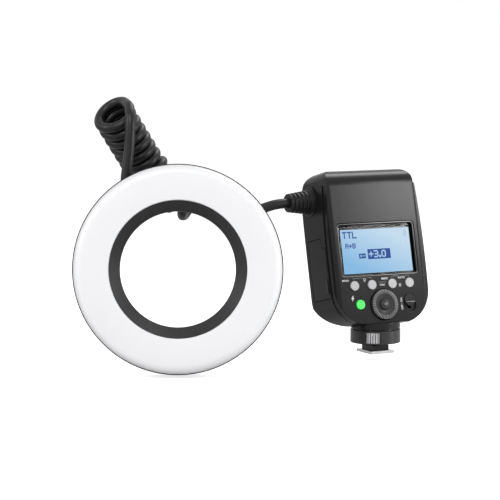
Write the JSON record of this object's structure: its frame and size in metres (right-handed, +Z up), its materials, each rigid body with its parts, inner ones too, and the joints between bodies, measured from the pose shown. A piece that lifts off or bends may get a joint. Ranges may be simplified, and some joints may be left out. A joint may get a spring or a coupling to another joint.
{
  "type": "macro ring flash",
  "caption": "Ring-shaped flash head for a lens front, with a shoe-mounted control unit, display, dial, buttons and a curly cord between them.",
  "frame": {"origin": "centre of the shoe foot's underside", "axes": "+Z up out of the shoe, -Y out of the display panel, +X to the right as the panel is read"},
  "size_m": [0.2591, 0.1259, 0.1831],
  "materials": {
    "diffuser_white": "translucent milk-white diffuser with a fine satin surface",
    "bezel_grey": "dark grey plastic turned with fine concentric grooves",
    "housing_black": "black plastic with a fine spark-eroded grain and a satin sheen",
    "control_black": "smooth black plastic",
    "button_grey": "light grey plastic",
    "button_green": "translucent green plastic lit from behind",
    "screen_clear": "clear display window",
    "screen_blue": "blue backlit display",
    "cord_rubber": "black elastic cord sheath with a soft sheen",
    "shoe_metal": "bright plated metal",
    "pad_metal": "ribbed brushed metal",
    "contact_gold": "gold plated contacts",
    "screw_steel": "dark plated steel screws",
    "tube_glass": "clear flash tube glass",
    "lamp_clear": "clear lamp domes",
    "reflector_silver": "polished reflector",
    "board_green": "circuit board laminate",
    "capacitor_blue": "sleeved capacitor can",
    "battery_black": "black plastic battery pack with a fine grain"
  },
  "bodies": {
    "control_unit": {"panel_shell": "housing_black", "main_shell": "housing_black", "housing_screws": "screw_steel", "lcd_window": "screen_clear", "lcd_module": "screen_blue", "main_board": "board_green", "capacitor": "capacitor_blue", "battery_bay": "control_black", "shoe_neck": "control_black", "shoe_plate": "shoe_metal", "contact_block": "control_black", "cord_relief": "cord_rubber", "cord_run_unit": "cord_rubber", "cord_curls": "cord_rubber"},
    "ring_head": {"ring_diffuser": "diffuser_white", "ring_bezel": "bezel_grey", "ring_back_cover": "housing_black", "ring_mount_collar": "control_black", "ring_reflector": "reflector_silver", "flash_tubes": "tube_glass", "modelling_lamps": "lamp_clear", "ring_board": "board_green", "ring_screws": "screw_steel", "ring_terminal": "housing_black", "ring_boot": "cord_rubber", "cord_run_ring": "cord_rubber"},
    "function_button_1": {"function_button_1": "button_grey"},
    "function_button_2": {"function_button_2": "button_grey"},
    "function_button_3": {"function_button_3": "button_grey"},
    "function_button_4": {"function_button_4": "button_grey"},
    "test_button": {"test_button": "button_green"},
    "set_button": {"set_button": "control_black"},
    "dial": {"dial": "control_black"},
    "power_switch": {"power_switch": "control_black"},
    "battery": {"battery_pack": "battery_black"},
    "battery_latch": {"battery_latch": "control_black"},
    "lock_collar": {"lock_collar": "control_black", "lock_pad": "pad_metal"},
    "lock_pin": {"lock_pin": "screw_steel"},
    "contact_pins": {"contact_pins": "contact_gold"},
    "release_left": {"release_slide_left": "control_black"},
    "release_right": {"release_slide_right": "control_black"}
  },
  "joints": [
    {"name": "function_button_1_press", "type": "slide", "parent": "control_unit", "child": "function_button_1", "axis": [0, 0.9748, -0.2233], "range_m": [0, 0.0006], "stiffness_N_per_m": 300},
    {"name": "function_button_2_press", "type": "slide", "parent": "control_unit", "child": "function_button_2", "axis": [0, 0.9748, -0.2233], "range_m": [0, 0.0006], "stiffness_N_per_m": 300},
    {"name": "function_button_3_press", "type": "slide", "parent": "control_unit", "child": "function_button_3", "axis": [0, 0.9748, -0.2233], "range_m": [0, 0.0006], "stiffness_N_per_m": 300},
    {"name": "function_button_4_press", "type": "slide", "parent": "control_unit", "child": "function_button_4", "axis": [0, 0.9748, -0.2233], "range_m": [0, 0.0006], "stiffness_N_per_m": 300},
    {"name": "test_button_press", "type": "slide", "parent": "control_unit", "child": "test_button", "axis": [0, 0.9748, -0.2233], "range_m": [0, 0.0006], "stiffness_N_per_m": 300},
    {"name": "set_button_press", "type": "slide", "parent": "control_unit", "child": "set_button", "axis": [0, 0.9748, -0.2233], "range_m": [0, 0.0006], "stiffness_N_per_m": 300},
    {"name": "dial_turn", "type": "hinge", "parent": "control_unit", "child": "dial", "pos_m": [0, -0.0115, 0.0346], "axis": [0, -0.9748, 0.2233], "continuous": true},
    {"name": "power_slide", "type": "slide", "parent": "control_unit", "child": "power_switch", "axis": [0, -0.2233, -0.9748], "range_m": [0, 0.0042]},
    {"name": "battery_slide", "type": "slide", "parent": "control_unit", "child": "battery", "axis": [-1, 0, 0], "range_m": [0, 0.05]},
    {"name": "battery_latch_press", "type": "slide", "parent": "battery", "child": "battery_latch", "axis": [1, 0, 0], "range_m": [0, 0.0008], "stiffness_N_per_m": 300},
    {"name": "lock_turn", "type": "hinge", "parent": "control_unit", "child": "lock_collar", "pos_m": [0, 0, 0.0112], "axis": [0, 0, 1], "range_deg": [0, 60]},
    {"name": "lock_pin_drop", "type": "slide", "parent": "control_unit", "child": "lock_pin", "axis": [0, 0, -1], "range_m": [0, 0.0016]},
    {"name": "contact_pins_press", "type": "slide", "parent": "control_unit", "child": "contact_pins", "axis": [0, 0, 1], "range_m": [0, 0.0004], "stiffness_N_per_m": 400},
    {"name": "ring_pull", "type": "slide", "parent": "control_unit", "child": "ring_head", "axis": [-0.8988, 0.4384, 0], "range_m": [0, 0.12], "stiffness_N_per_m": 20, "deforming": ["cord_curls"]},
    {"name": "release_left_pull", "type": "slide", "parent": "ring_head", "child": "release_left", "axis": [-0.8988, 0.4384, 0], "range_m": [0, 0.0025], "stiffness_N_per_m": 400},
    {"name": "release_right_pull", "type": "slide", "parent": "ring_head", "child": "release_right", "axis": [0.8988, -0.4384, 0], "range_m": [0, 0.0025], "stiffness_N_per_m": 400}
  ],
  "couplings": [
    {"joint": "lock_turn", "follows": "lock_pin_drop", "rad_per_m": 654}
  ]
}
